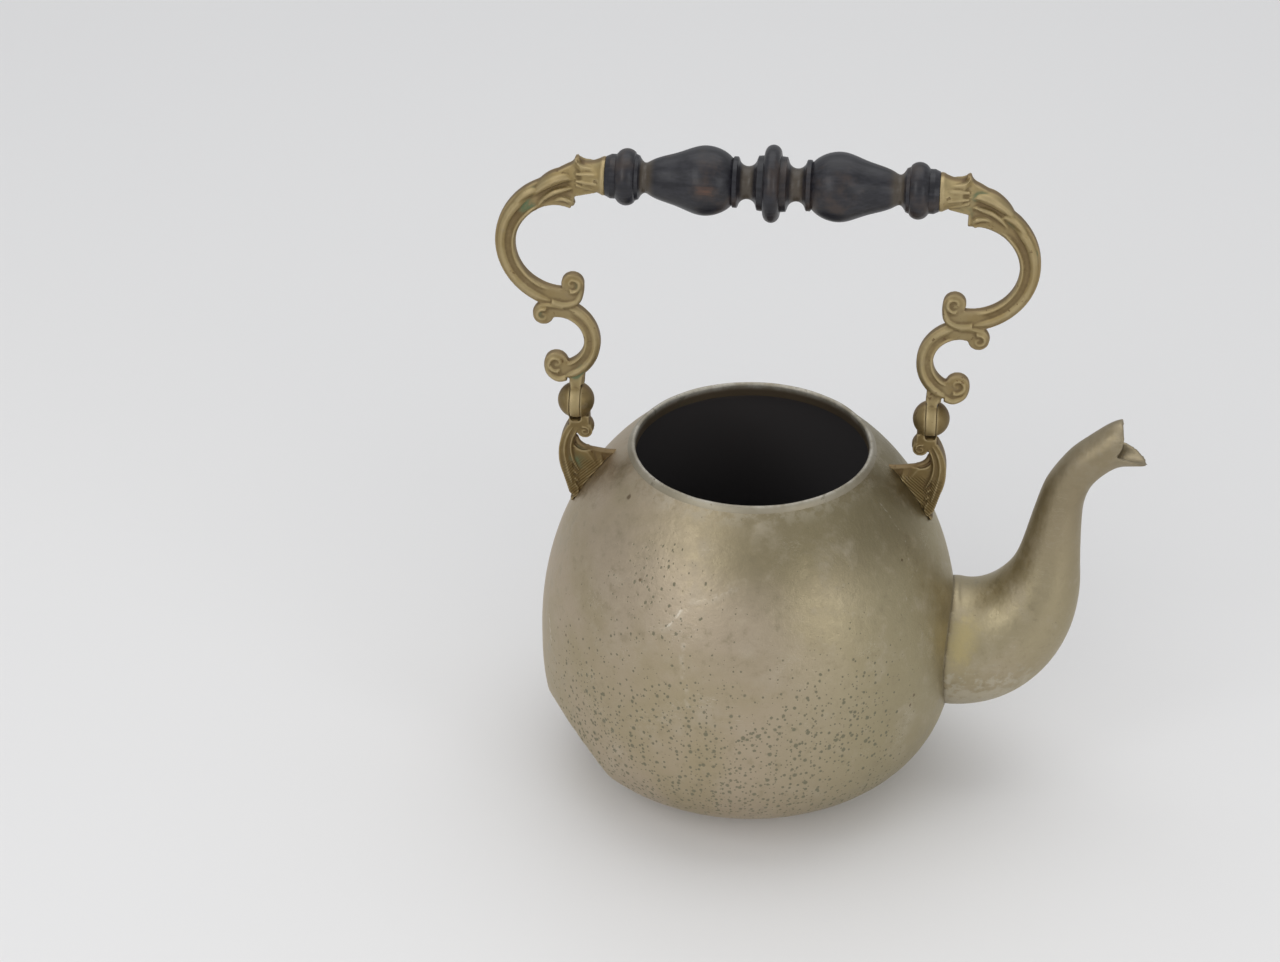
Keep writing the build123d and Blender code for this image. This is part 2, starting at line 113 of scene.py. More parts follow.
# %% Shader helpers
MEAN_RADIUS = 0.064  # of the body, for the flat map of its pits


class Val:
    """A number on a socket, which can be added, multiplied and so on."""

    def __init__(self, finish, socket):
        self.finish = finish
        self.socket = socket

    def math(self, operation, *others, clamp=False):
        settings = {"operation": operation, "use_clamp": clamp}
        return self.finish.node("ShaderNodeMath", settings, dict(enumerate((self, *others))))[0]

    def __add__(self, other):
        return self.math("ADD", other)

    def __mul__(self, other):
        return self.math("MULTIPLY", other)

    def __sub__(self, other):
        return self.math("SUBTRACT", other)

    def __rsub__(self, other):
        return self.finish.node("ShaderNodeMath", {"operation": "SUBTRACT"}, {0: other, 1: self})[0]

    __radd__ = __add__
    __rmul__ = __mul__

    def power(self, exponent):
        return self.math("POWER", exponent)

    def ramp(self, low, high):
        """0 at low, 1 at high, smooth between."""
        sockets = {"Value": self, "From Min": low, "From Max": high, "To Min": 0.0, "To Max": 1.0}
        return self.finish.node("ShaderNodeMapRange", {"interpolation_type": "SMOOTHSTEP"}, sockets)[0]


class Finish:
    """A material with a Principled shader, and one way to add every other node."""

    def __init__(self, name):
        self.material = bpy.data.materials.new(name)
        self.material.use_nodes = True
        self.tree = self.material.node_tree
        self.shader = self.tree.nodes["Principled BSDF"]
        self.place = self.node("ShaderNodeTexCoord", {}, {})["Object"]

    def node(self, kind, settings, sockets):
        made = self.tree.nodes.new(kind)
        for key, value in settings.items():
            setattr(made, key, value)
        for key, value in sockets.items():
            self.feed(made.inputs[key], value)
        named = {s.name: Val(self, s) for s in made.outputs if s.enabled}
        return Outputs([Val(self, s) for s in made.outputs if s.enabled], named)

    def vector(self, operation, sockets, output="Vector"):
        return self.node("ShaderNodeVectorMath", {"operation": operation}, sockets)[output]

    def feed(self, socket, value):
        if isinstance(value, Val):
            self.tree.links.new(value.socket, socket)
        elif isinstance(value, tuple) and len(value) == 3 and socket.type == "RGBA":
            socket.default_value = (*value, 1.0)
        else:
            socket.default_value = value

    def noise(self, scale, detail=4.0, roughness=0.55, distortion=0.0, where=None):
        sockets = {"Vector": where or self.place, "Scale": scale, "Detail": detail,
                   "Roughness": roughness, "Distortion": distortion}
        return self.node("ShaderNodeTexNoise", {}, sockets)["Fac"]

    def spots(self, scale, where):
        """Many points on a flat map: the distance to the nearest one, and its random colour."""
        sockets = {"Vector": where, "Scale": scale}
        return self.node("ShaderNodeTexVoronoi", {"voronoi_dimensions": "2D"}, sockets)

    def mix(self, factor, first, second):
        sockets = {0: factor, 6: first, 7: second}
        return self.node("ShaderNodeMix", {"data_type": "RGBA"}, sockets)[0]

    def moved(self, location=(0, 0, 0), rotation=(0, 0, 0), scale=(1, 1, 1)):
        sockets = {"Vector": self.place, "Location": location, "Rotation": rotation, "Scale": scale}
        return self.node("ShaderNodeMapping", {}, sockets)[0]

    def axes(self, where=None):
        split = self.node("ShaderNodeSeparateXYZ", {}, {0: where or self.place})
        return split["X"], split["Y"], split["Z"]

    def wander(self, scale, amount):
        """The place, pushed about a little, for lines that are not quite straight."""
        sockets = {"Vector": self.place, "Scale": scale, "Detail": 3.0}
        drift = self.node("ShaderNodeTexNoise", {}, sockets)["Color"]
        pushed = self.vector("MULTIPLY_ADD", {0: drift, 1: (amount,) * 3, 2: self.place})
        return self.vector("SUBTRACT", {0: pushed, 1: (amount / 2,) * 3})

    def near_line(self, points, where=None):
        """Distance in metres to a broken line through points given in millimetres."""
        nearest = None
        for start, end in zip(points, points[1:]):
            start, end = Vector(start) * MM, Vector(end) * MM
            step = end - start
            offset = self.vector("SUBTRACT", {0: where or self.place, 1: tuple(start)})
            unit = tuple(step / step.length_squared)
            along = self.vector("DOT_PRODUCT", {0: offset, 1: unit}, "Value")
            share = along.math("MULTIPLY", 1.0, clamp=True)
            foot = self.vector("SCALE", {0: tuple(step), "Scale": share})
            gap = self.vector("DISTANCE", {0: offset, 1: foot}, "Value")
            nearest = gap if nearest is None else nearest.math("MINIMUM", gap)
        return nearest

    def round_body(self):
        """A flat map of the body: the way round it and the way up it, both in metres."""
        x, y, z = self.axes()
        turn = x.math("ARCTAN2", y * -1.0) * BODY_RADIUS
        rise = (z - WIDEST).math("ARCTAN2", length(x, y)) * MEAN_RADIUS
        return self.node("ShaderNodeCombineXYZ", {}, {"X": turn, "Y": rise})["Vector"]

    def distance(self, point):
        return self.vector("DISTANCE", {0: self.place, 1: point}, "Value")

    def bump(self, height, strength, depth, under=None):
        sockets = {"Height": height, "Strength": strength, "Distance": depth}
        if under is not None:
            sockets["Normal"] = under
        return self.node("ShaderNodeBump", {}, sockets)[0]

    def set(self, **values):
        for name, value in values.items():
            self.feed(self.shader.inputs[name.replace("_", " ")], value)


class Outputs:
    """A node's outputs, by place or by name."""

    def __init__(self, listed, named):
        self.listed = listed
        self.named = named

    def __getitem__(self, key):
        return self.named[key] if isinstance(key, str) else self.listed[key]


def length(first, second):
    """The length of a flat step, from its two parts."""
    return ((first * first) + (second * second)).power(0.5)


def wear(piece, finish):
    """Gives a piece one finish in place of what it had."""
    piece.data.materials.clear()
    piece.data.materials.append(finish.material)


def deselect():
    if bpy.context.mode != "OBJECT":
        bpy.ops.object.mode_set(mode="OBJECT")
    bpy.ops.object.select_all(action="DESELECT")


def choose(piece):
    """Selects one object and makes it the active one."""
    deselect()
    piece.select_set(True)
    bpy.context.view_layer.objects.active = piece


print("shader helpers ready")

# %% [markdown]
# ## Nickel plate over brass
#
# The plate has gone dull and warm. Its colour drifts between olive, grey and a faint pink. Damp has
# left hundreds of dark pits low on the front, and rubbing has left fine pale scratches. The pits are
# Voronoi cells: the distance to each cell's point makes a dot, and the cell's random number sets how
# large the dot is, or whether there is one at all. The larger scratches follow lines on the body, and
# one more line down the left edge is a painted highlight.

# %% Plate
WARM_PLATE = (0.420, 0.352, 0.232)
PINK_PLATE = (0.475, 0.395, 0.290)
OLIVE = (0.370, 0.325, 0.200)
SHOULDER_OLIVE_AND_SHADE = (0.235, 0.200, 0.118)
PALE_PATCH = (0.560, 0.500, 0.400)
DULL_PATCH = (0.320, 0.272, 0.175)
PALE_MOTTLE = (0.530, 0.460, 0.340)
DARK_MOTTLE = (0.290, 0.245, 0.155)
RIM_HALO = (0.480, 0.440, 0.350)
PIT_GREEN = (0.135, 0.135, 0.085)
SPOT_BROWN = (0.130, 0.090, 0.050)
SEAM_DIRT = (0.130, 0.105, 0.055)
SPOUT_TARNISH = (0.320, 0.262, 0.170)
YELLOW_BRASS = (0.540, 0.445, 0.215)
PALE_CRUST = (0.560, 0.530, 0.440)
ROOT_DIRT = (0.100, 0.080, 0.050)
PALE_METAL_AND_HIGHLIGHT = (0.830, 0.780, 0.670)
# Scratches, and one painted highlight line down the left edge, as places in millimetres
ARC = [(-22.0, -56.4, 82.8), (-18.7, -56.1, 86.4), (-15.7, -55.5, 89.6),
       (-11.2, -55.1, 92.5), (-5.1, -54.9, 94.6), (-0.7, -53.5, 97.3)]
RUB = [(-15.5, -59.7, 79.2), (-16.0, -61.1, 74.6), (-14.9, -62.8, 68.4), (-13.7, -64.4, 59.6)]
SHOULDER_LINE = [(41.0, -18.6, 108.5), (45.0, -20.4, 103.4), (49.2, -21.4, 97.0), (51.2, -25.5, 90.6)]
SIDE_LINE = [(55.8, -9.6, 91.7), (53.4, -23.8, 87.8), (49.2, -32.9, 86.1), (50.9, -33.0, 82.5)]
# A painted highlight: a thin bright reflection line down the body's left edge
LEFT_EDGE_PAINTED_HIGHLIGHT = [(-61.9, -22.0, 61.7), (-60.3, -27.6, 54.1)]
# Each mark is a line, its half width in millimetres and its strength
MARKS = [(ARC[:3], 0.50, 0.50), (ARC, 0.40, 0.20), (ARC, 2.4, 0.10), (RUB, 1.4, 0.17),
         (SHOULDER_LINE, 0.28, 0.35), (SIDE_LINE, 0.28, 0.30), (LEFT_EDGE_PAINTED_HIGHLIGHT, 0.45, 0.5)]
# Single brown spots: place and radius in millimetres
DARK_SPOTS = [((-36.0, -25.4, 109.6), 1.1), ((-54.7, -35.7, 63.8), 0.6), ((48.7, -27.2, 93.3), 0.6),
              ((-30.3, -46.8, 93.4), 0.7), ((54.5, -38.0, 50.5), 0.8), ((53.5, -39.5, 47.7), 0.7)]
# Pits of four sizes: cells per metre, size in shares of a cell, and how many cells have one
PITS = [(250.0, 0.215, 0.70), (420.0, 0.270, 0.62), (640.0, 0.250, 0.50), (150.0, 0.130, 0.42)]
UPPER_PITS = (-0.026, -0.052, 0.090)
# Where the spout's root is rubbed yellow, in millimetres
WORN_ROOT = [(69.0, -16.0, 62.0), (68.0, -19.5, 55.0)]


def scratches(finish, turn, along, across, width):
    """Thin lines that run one way: noise stretched along them, cut to its narrow crests."""
    where = finish.moved(rotation=turn, scale=(along, across, across))
    lines = finish.noise(1.0, detail=2.0, where=where)
    return lines.math("COMPARE", 0.5, width)


def plate(name, pitted, olive, marked=False, spout=False):
    """The worn plate. Pitted and olive say how strong the pits and the olive tint are."""
    finish = Finish(name)
    x, y, z = finish.axes()
    broad = finish.noise(20.0, detail=3.0, distortion=0.6)
    patch = finish.noise(65.0, detail=5.0, roughness=0.66)
    fine = finish.noise(850.0, detail=3.0)
    mottle = finish.noise(260.0, detail=4.0, roughness=0.7)

    # Drifting colour: olive towards the spout and the shoulder, paler and duller patches over it.
    # The darker olive on the upper shoulder is partly olive tone and partly painted shade, kept off
    # the left, where the highlight falls.
    base = finish.mix(broad.ramp(0.38, 0.62), WARM_PLATE, PINK_PLATE)
    spout_side = (x + (broad - 0.5) * 0.04).ramp(0.0, 0.055)
    base = finish.mix(spout_side * olive, base, OLIVE)
    shoulder = z.ramp(0.086, 0.106) * (x + (broad - 0.5) * 0.02).ramp(-0.042, 0.024)
    base = finish.mix(shoulder * olive * 1.15, base, SHOULDER_OLIVE_AND_SHADE)
    base = finish.mix(patch.ramp(0.50, 0.80) * 0.45, base, PALE_PATCH)
    base = finish.mix(patch.ramp(0.47, 0.22) * 0.45, base, DULL_PATCH)
    pale_mottle = mottle.ramp(0.52, 0.74) * 0.34 * z.ramp(0.112, 0.084)
    base = finish.mix(pale_mottle, base, PALE_MOTTLE)
    base = finish.mix(mottle.ramp(0.48, 0.28) * 0.40, base, DARK_MOTTLE)
    halo = z.ramp(0.1100, 0.1140) * mottle.ramp(0.40, 0.58)
    base = finish.mix(halo * 0.32, base, RIM_HALO)

    # Pits: low on the front, and a few higher up
    low = z.ramp(0.090, 0.040) * z.ramp(0.003, 0.024)
    front = y.ramp(-0.018, -0.050) * x.ramp(0.062, 0.036)
    drift = finish.noise(34.0, detail=3.0, where=finish.moved((0.3, 0.1, 0.2)))
    upper = finish.distance(UPPER_PITS).ramp(0.028, 0.008) * 0.55
    zone = (low * front).math("MAXIMUM", upper) * drift.ramp(0.20, 0.48)
    zone = (zone + 0.06 * front).math("MULTIPLY", pitted, clamp=True)
    wobble = (fine - 0.5) * 0.17
    dots = None
    flat = finish.round_body()
    for scale, size, share in PITS:
        cells = finish.spots(scale, flat)
        chance = finish.axes(cells["Color"])[0]
        radius = (chance - (1 - zone * share)).math("MULTIPLY", 1.6, clamp=True)
        radius = radius.power(0.40) * size
        dot = (cells["Distance"] + wobble).ramp(radius + 0.020, radius * 0.7 - 0.03)
        dots = dot if dots is None else dots.math("MAXIMUM", dot)
    base = finish.mix(dots * 0.80, base, PIT_GREEN)

    # Fine rubbing, roughness and metal
    pale_rubs_and_highlight = scratches(finish, (0.3, 0.5, 0.2), 14.0, 900.0, 0.008)
    pale_rubs_and_highlight = pale_rubs_and_highlight.math("MAXIMUM", scratches(finish, (1.1, -0.6, 0.9), 18.0, 1100.0, 0.007))
    pale_rubs_and_highlight = pale_rubs_and_highlight * finish.noise(60.0, detail=2.0).ramp(0.55, 0.70) * (0.08 if spout else 0.22)
    rough = 0.49 + (patch - 0.5) * 0.34 + (mottle - 0.5) * 0.30
    rough = rough + dots * 0.25 + (fine - 0.5) * 0.12
    metal = 1.0 - dots * 0.55
    if marked:
        hand = finish.wander(160.0, 0.0022)
        broken = finish.noise(420.0, detail=3.0).ramp(0.38, 0.60)
        # The scratch lines, and the painted highlight down the left edge, are made pale
        for line, width, strength in MARKS:
            gap = finish.near_line(line, hand)
            mark = (gap + (fine - 0.5) * 0.0009).ramp(width * MM, width * 0.15 * MM)
            pale_rubs_and_highlight = pale_rubs_and_highlight.math("MAXIMUM", mark * strength * broken)
        for place, size in DARK_SPOTS:
            gap = finish.distance(tuple(Vector(place) * MM)) + (fine - 0.5) * 0.0008
            spot = gap.ramp(size * MM, size * 0.4 * MM) * 0.75
            base = finish.mix(spot, base, SPOT_BROWN)
        seam = (length(y, z - SPOUT_HEIGHT) - SPOUT_ROOT).math("ABSOLUTE")
        seam = seam.ramp(0.0013, 0.0005) * x.ramp(0.050, 0.055)
        base = finish.mix(seam * 0.45, base, SEAM_DIRT)
        metal = metal - seam * 0.5
    if spout:
        off_widest = z - WIDEST
        gap = length(x, y) - (BODY_RADIUS - 4.2 * off_widest * off_widest)
        base = finish.mix(z.ramp(0.050, 0.110) * 0.6, base, SPOUT_TARNISH)
        worn = finish.near_line(WORN_ROOT) + (patch - 0.5) * 0.010 + (mottle - 0.5) * 0.006
        base = finish.mix(worn.ramp(0.0070, 0.0000) * 0.70, base, YELLOW_BRASS)
        crust = finish.noise(330.0, detail=5.0, roughness=0.7) + z.ramp(0.050, 0.032) * 0.20
        crust = crust.ramp(0.52, 0.66) * z.ramp(0.054, 0.045) * x.ramp(0.104, 0.082)
        base = finish.mix(crust * 0.42, base, PALE_CRUST)
        rough = rough + crust * 0.2
        line = gap.ramp(0.0006, 0.0002)
        base = finish.mix(line * 0.5, base, ROOT_DIRT)
        metal = metal - line * 0.6 - crust * 0.3
    # Pale scratches and rubbing, with the painted left-edge highlight among them
    base = finish.mix(pale_rubs_and_highlight, base, PALE_METAL_AND_HIGHLIGHT)
    rough = rough - pale_rubs_and_highlight * 0.15
    relief = dots * -1.0 + (patch - 0.5) * 0.40 + (fine - 0.5) * 0.12 + pale_rubs_and_highlight * 0.3
    slow = finish.bump(broad, 0.20, 0.0016)
    beaten = finish.bump(mottle, 0.30, 0.0007, under=slow)
    finish.set(Base_Color=base, Metallic=metal, Roughness=rough,
               Normal=finish.bump(relief, 0.40, 0.0002, under=beaten))
    return finish


plate_finish = plate("dull_nickel_plate", 1.0, 0.8, marked=True)
spout_finish = plate("spout_plate", 0.12, 0.5, spout=True)
print("plate:", len(plate_finish.tree.nodes), "nodes, spout:", len(spout_finish.tree.nodes), "nodes")

# %% [markdown]
# ## Inside of the kettle
#
# Years of tea and smoke have made the inside almost black, a little browner just below the rim.

# %% Dark inside
inside_finish = Finish("dark_inside")
inside_height = inside_finish.axes()[2]
stain = inside_finish.noise(60.0, detail=4.0) * 0.010 + inside_height
inside_colour = inside_finish.mix(stain.ramp(0.108, 0.119), (0.078, 0.074, 0.076), (0.170, 0.135, 0.095))
inside_finish.set(Base_Color=inside_colour, Roughness=0.75, Metallic=0.0)
inside_finish.shader.inputs["Specular IOR Level"].default_value = 0.25
print("inside finish ready")

# %% [markdown]
# ## The body, spun from sheet
#
# A metal spinner presses a turning disc over a form. Here a small ring of points is drawn up the
# same curve: extrude the edge loop, lift it, and scale it to the next radius. The curve is two
# quarters of a superellipse, fuller than an ellipse at the belly. Solidify then gives the sheet
# its thickness, with the dark finish on the inner wall.

# %% Body skin
BELLY_RINGS = 22
SHOULDER_RINGS = 26


def shape_of(share, power):
    return (1 - share ** power) ** (1 / power)


SHOULDER_REACH = (RIM_HEIGHT - WIDEST) / shape_of(RIM_RADIUS / BODY_RADIUS, SHOULDER_POWER)
BELLY_REACH = WIDEST / shape_of(BASE_RADIUS / BODY_RADIUS, BELLY_POWER)


def radius_at(height):
    """The body's radius at a height above the table."""
    if height >= WIDEST:
        return BODY_RADIUS * shape_of((height - WIDEST) / SHOULDER_REACH, SHOULDER_POWER)
    return BODY_RADIUS * shape_of((WIDEST - height) / BELLY_REACH, BELLY_POWER)


heights = [WIDEST * (1 - math.cos(math.pi * i / (2 * BELLY_RINGS))) for i in range(1, BELLY_RINGS + 1)]
heights += [WIDEST + (RIM_HEIGHT - WIDEST) * i / SHOULDER_RINGS for i in range(1, SHOULDER_RINGS + 1)]
deselect()
bpy.ops.mesh.primitive_circle_add(vertices=160, radius=BASE_RADIUS, location=(0, 0, 0))
body = bpy.context.object
body.name = "body_sheet"
bpy.ops.object.mode_set(mode="EDIT")
bpy.ops.mesh.select_all(action="SELECT")
radius, height = BASE_RADIUS, 0.0
for next_height in heights:
    next_radius = radius_at(next_height)
    bpy.ops.mesh.extrude_edges_move(TRANSFORM_OT_translate={"value": (0, 0, next_height - height)})
    scale = next_radius / radius
    bpy.ops.transform.resize(value=(scale, scale, 1), center_override=(0, 0, next_height))
    radius, height = next_radius, next_height
bpy.ops.mesh.select_all(action="DESELECT")
bpy.ops.object.mode_set(mode="OBJECT")
for vertex in body.data.vertices:
    vertex.select = vertex.co.z < 1e-6
bpy.ops.object.mode_set(mode="EDIT")
bpy.ops.mesh.edge_face_add()
bpy.ops.mesh.inset(thickness=0.004)
bpy.ops.mesh.inset(thickness=0.010)
bpy.ops.mesh.poke()
bpy.ops.mesh.select_all(action="SELECT")
bpy.ops.mesh.normals_make_consistent(inside=False)
bpy.ops.object.mode_set(mode="OBJECT")
print("body skin:", len(body.data.vertices), "points, rim radius", round(radius / MM, 2), "mm")

# %% [markdown]
# ## Dents
#
# The kettle has been dropped: low on the side away from the spout the curve is nearly flat. A dent
# like this is the body meeting a plane, so every point beyond the plane is pushed back to it,
# softly at the edge. Two shallow ones make the reflections wander as they do in old sheet metal.

# %% Dents
# Each dent is the direction of its plane, its depth, and how far the sheet gives way to it
DENTS = [
    ((-0.77, -0.39, -0.50), 0.0033, 0.92),
    ((-0.55, -0.80, 0.10), 0.0006, 0.8),
    ((0.35, -0.90, 0.25), 0.0004, 0.8),
]
# The sheet starts to give a little before the plane
SOFT_START = 0.001
SOFT_REACH = 0.0016
for direction, depth, give in DENTS:
    push = Vector(direction).normalized()
    top = max(vertex.co.dot(push) for vertex in body.data.vertices)
    for vertex in body.data.vertices:
        over = vertex.co.dot(push) - (top - depth)
        if over > 0:
            soft = min(1.0, (over + SOFT_START) / SOFT_REACH)
            vertex.co -= push * over * give * soft
print("dents:", len(DENTS))

# %% Sheet thickness and the hole behind the spout
sheet_wall = body.modifiers.new("sheet", "SOLIDIFY")
sheet_wall.thickness = SHEET
sheet_wall.offset = -1.0
sheet_wall.use_even_offset = True
sheet_wall.material_offset = 1
sheet_wall.material_offset_rim = 1
wear(body, plate_finish)
body.data.materials.append(inside_finish.material)
bpy.context.view_layer.objects.active = body
bpy.ops.object.modifier_apply(modifier="sheet")
deselect()
bpy.ops.mesh.primitive_cylinder_add(vertices=64, radius=SPOUT_HOLE, depth=0.05,
                                    location=(0.068, 0, SPOUT_HEIGHT), rotation=(0, math.pi / 2, 0))
punch = bpy.context.object
cut = body.modifiers.new("hole", "BOOLEAN")
cut.operation = "DIFFERENCE"
cut.solver = "EXACT"
cut.object = punch
choose(body)
bpy.ops.object.modifier_apply(modifier="hole")
bpy.data.objects.remove(punch)
bpy.ops.object.shade_smooth()
bpy.ops.object.shade_smooth_by_angle(angle=math.radians(40))
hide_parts("body_shell")
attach(body, "kettle")
print("body sheet:", len(body.data.polygons), "faces")

# %% [markdown]
# ## Rim
#
# The mouth's edge is a soft rounded lip that flows out of the shoulder. Half a section is drawn as a
# line of points and spun round the middle. Years of use have left it a little uneven.

# %% Rim
# The lip's section as radius and height, in millimetres
LIP = [(38.95, 114.30), (38.60, 114.85), (38.20, 115.45), (37.80, 115.90), (37.35, 116.15),
       (36.95, 116.10), (36.65, 115.80), (36.50, 115.30), (36.50, 113.50), (36.50, 111.70),
       (37.10, 111.70), (37.10, 114.00)]
LIP_WAVE = 0.10 * MM
lip_mesh = bpy.data.meshes.new("rim_lip")
lip_edges = [(i, (i + 1) % len(LIP)) for i in range(len(LIP))]
lip_mesh.from_pydata([(r * MM, 0, z * MM) for r, z in LIP], lip_edges, [])
rim = bpy.data.objects.new("rim_lip", lip_mesh)
bpy.context.collection.objects.link(rim)
choose(rim)
bpy.ops.object.mode_set(mode="EDIT")
bpy.ops.mesh.select_all(action="SELECT")
bpy.ops.mesh.spin(steps=180, angle=2 * math.pi, center=(0, 0, 0), axis=(0, 0, 1))
bpy.ops.mesh.select_all(action="SELECT")
bpy.ops.mesh.remove_doubles(threshold=0.00001)
bpy.ops.mesh.normals_make_consistent(inside=False)
bpy.ops.object.mode_set(mode="OBJECT")
for vertex in rim.data.vertices:
    if vertex.co.z > 114.5 * MM:
        vertex.co.z += noise.noise(vertex.co * 130) * LIP_WAVE
bpy.ops.object.shade_smooth()
bpy.ops.object.shade_smooth_by_angle(angle=math.radians(60))
rim_finish = Finish("rim_plate")
rim_blotch = rim_finish.noise(110.0, detail=5.0, roughness=0.7)
rim_fine = rim_finish.noise(900.0, detail=2.0)
rim_x, rim_y, rim_z = rim_finish.axes()
rim_colour = rim_finish.mix(rim_blotch.ramp(0.35, 0.65), (0.310, 0.280, 0.215), (0.500, 0.475, 0.415))
rim_colour = rim_finish.mix(rim_z.ramp(0.1154, 0.1135), rim_colour, (0.170, 0.130, 0.085))
rim_radius = length(rim_x, rim_y) + (rim_blotch - 0.5) * 0.0012
rim_outside = rim_radius.ramp(0.0375, 0.0383) * 0.75
rim_colour = rim_finish.mix(rim_outside, rim_colour, (0.340, 0.302, 0.220))
rim_stains = (rim_blotch + (rim_fine - 0.5) * 0.3).ramp(0.58, 0.68) * 0.6
rim_colour = rim_finish.mix(rim_stains, rim_colour, (0.150, 0.130, 0.085))
rim_finish.set(Base_Color=rim_colour, Metallic=0.9, Roughness=0.42 + rim_blotch * 0.2,
               Normal=rim_finish.bump(rim_blotch, 0.3, 0.0002))
wear(rim, rim_finish)
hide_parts("rim_ring")
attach(rim, "kettle")
print("rim lip:", len(rim.data.polygons), "faces")

# %% [markdown]
# ## Cast brass of the bail and the ears
#
# The castings are dull yellow brass. Brown dirt lies in every hollow, the crests are rubbed paler,
# and a few places show green verdigris. The flat sides are darkened with painted shade. How deep a
# point lies is stored on the skin as the number `hollow`, in millimetres, when the castings are built.

# %% Cast brass
RUBBED_CREST = (0.520, 0.420, 0.240)
GREY_BRASS = (0.330, 0.275, 0.180)
HOLLOW_DIRT = (0.115, 0.075, 0.028)
FLANK_PAINTED_SHADE = (0.165, 0.106, 0.056)
STAIN_BROWN = (0.105, 0.052, 0.022)
VERDIGRIS = (0.070, 0.120, 0.062)
LINE_DIRT = (0.110, 0.075, 0.030)
# Places with verdigris, in metres
GREEN_PLACES = [(0.0778, 0, 0.1995), (0.0768, 0, 0.1800), (-0.0700, 0, 0.1960), (0.0600, 0, 0.2010)]


def cast_brass(name, pale, plain, engraved=False):
    finish = Finish(name)
    hollow = finish.node("ShaderNodeAttribute", {"attribute_name": "hollow"}, {})["Fac"]
    x, y, z = finish.axes()
    broad = finish.noise(90.0, detail=4.0, roughness=0.6)
    grain = finish.noise(1100.0, detail=3.0)
    patch = finish.noise(300.0, detail=5.0, roughness=0.65, distortion=0.4)
    base = finish.mix(broad.ramp(0.35, 0.65), plain, pale)
    crests = (hollow * -1.0 + (patch - 0.5) * 0.10).ramp(0.02, 0.16)
    base = finish.mix(crests * 0.5, base, RUBBED_CREST)
    base = finish.mix(patch.ramp(0.42, 0.25) * 0.4, base, GREY_BRASS)
    dirt = (hollow + (patch - 0.5) * 0.16 + (grain - 0.5) * 0.05).ramp(0.00, 0.15)
    base = finish.mix(dirt * 0.75, base, HOLLOW_DIRT)
    # Painted shade: the flat sides of a casting, near its middle plane, are darkened brown
    edges = (y.math("ABSOLUTE") + (patch - 0.5) * 0.0010).ramp(0.0019, 0.0006)
    base = finish.mix(edges * 0.60, base, FLANK_PAINTED_SHADE)
    spots = (patch + (grain - 0.5) * 0.3).ramp(0.63, 0.72)
    base = finish.mix(spots * 0.7, base, STAIN_BROWN)
    green = finish.noise(75.0, detail=3.0, where=finish.moved((0.5, 0.2, 0.9))).ramp(0.60, 0.70)
    green = green * (hollow + 0.05).ramp(0.0, 0.12)
    for place in GREEN_PLACES:
        near = (finish.distance(place) + (patch - 0.5) * 0.004).ramp(0.0042, 0.0015)
        green = green.math("MAXIMUM", near * (hollow + (grain - 0.5) * 0.2).ramp(-0.02, 0.10))
    base = finish.mix(green * 0.8, base, VERDIGRIS)
    rough = 0.54 + (patch - 0.5) * 0.20 + green * 0.3 + dirt * 0.15
    relief = (patch - 0.5) * 0.6 + (grain - 0.5) * 0.35
    if engraved:
        across = x.math("ABSOLUTE")
        web = across.ramp(0.0605, 0.0585) * z.ramp(0.1090, 0.1070)
        line = (across * 5340.0 + z * 5730.0).math("SINE") * web
        relief = relief + line * 0.6
        base = finish.mix(line.ramp(0.1, -0.8) * web * 0.55, base, LINE_DIRT)
    finish.set(Base_Color=base, Metallic=0.90 - green * 0.7 - dirt * 0.4, Roughness=rough,
               Normal=finish.bump(relief, 0.45, 0.00018))
    return finish


brass_finish = cast_brass("cast_brass", (0.375, 0.298, 0.155), (0.325, 0.245, 0.112))
ear_finish = cast_brass("ear_brass", (0.250, 0.185, 0.082), (0.190, 0.133, 0.055), engraved=True)
print("cast brass ready")

# %% [markdown]
# ## Ebonised wood
#
# The grip is hardwood dyed black and waxed. Turning left fine rings, hands rubbed the crowns to a
# satin, and in a few places the black has worn through to brown. The grain runs along X.

# %% Ebonised wood
BLACK = (0.008, 0.008, 0.011)
BLUE_BLACK = (0.019, 0.019, 0.024)
BROWN_BLACK = (0.048, 0.034, 0.027)
NECK_DUST = (0.095, 0.075, 0.050)
BARE_WOOD = (0.150, 0.070, 0.040)


def ebonised(name, middle):
    finish = Finish(name)
    grain = finish.noise(1.0, detail=5.0, where=finish.moved(scale=(60.0, 900.0, 900.0)))
    rings = finish.noise(1.0, detail=3.0, where=finish.moved(scale=(2600.0, 20.0, 20.0)))
    blotch = finish.noise(80.0, detail=4.0, roughness=0.6)
    base = finish.mix(grain.ramp(0.35, 0.70), BLACK, BLUE_BLACK)
    base = finish.mix(blotch.ramp(0.50, 0.68) * 0.65, base, BROWN_BLACK)
    _, away, up = finish.axes()
    neck = length(away, up - middle.z).ramp(0.0062, 0.0050)
    base = finish.mix(neck * 0.55, base, NECK_DUST)
    height = middle.z / MM
    spot = finish.near_line([(-16.6, -10.2, height + 1.9), (-13.2, -10.3, height + 1.5)])
    worn = (spot + (grain - 0.5) * 0.0045 + (blotch - 0.5) * 0.005).ramp(0.0019, -0.0005)
    base = finish.mix(worn * 0.70, base, BARE_WOOD)
    rough = 0.40 + (blotch - 0.5) * 0.25 + (grain - 0.5) * 0.12
    relief = (rings - 0.5) * 0.5 + (grain - 0.5) * 0.7
    finish.set(Base_Color=base, Metallic=0.0, Roughness=rough, Normal=finish.bump(relief, 0.30, 0.00012))
    finish.set(Coat_Weight=0.02 + blotch * 0.06)
    finish.shader.inputs["Specular IOR Level"].default_value = 0.40
    return finish


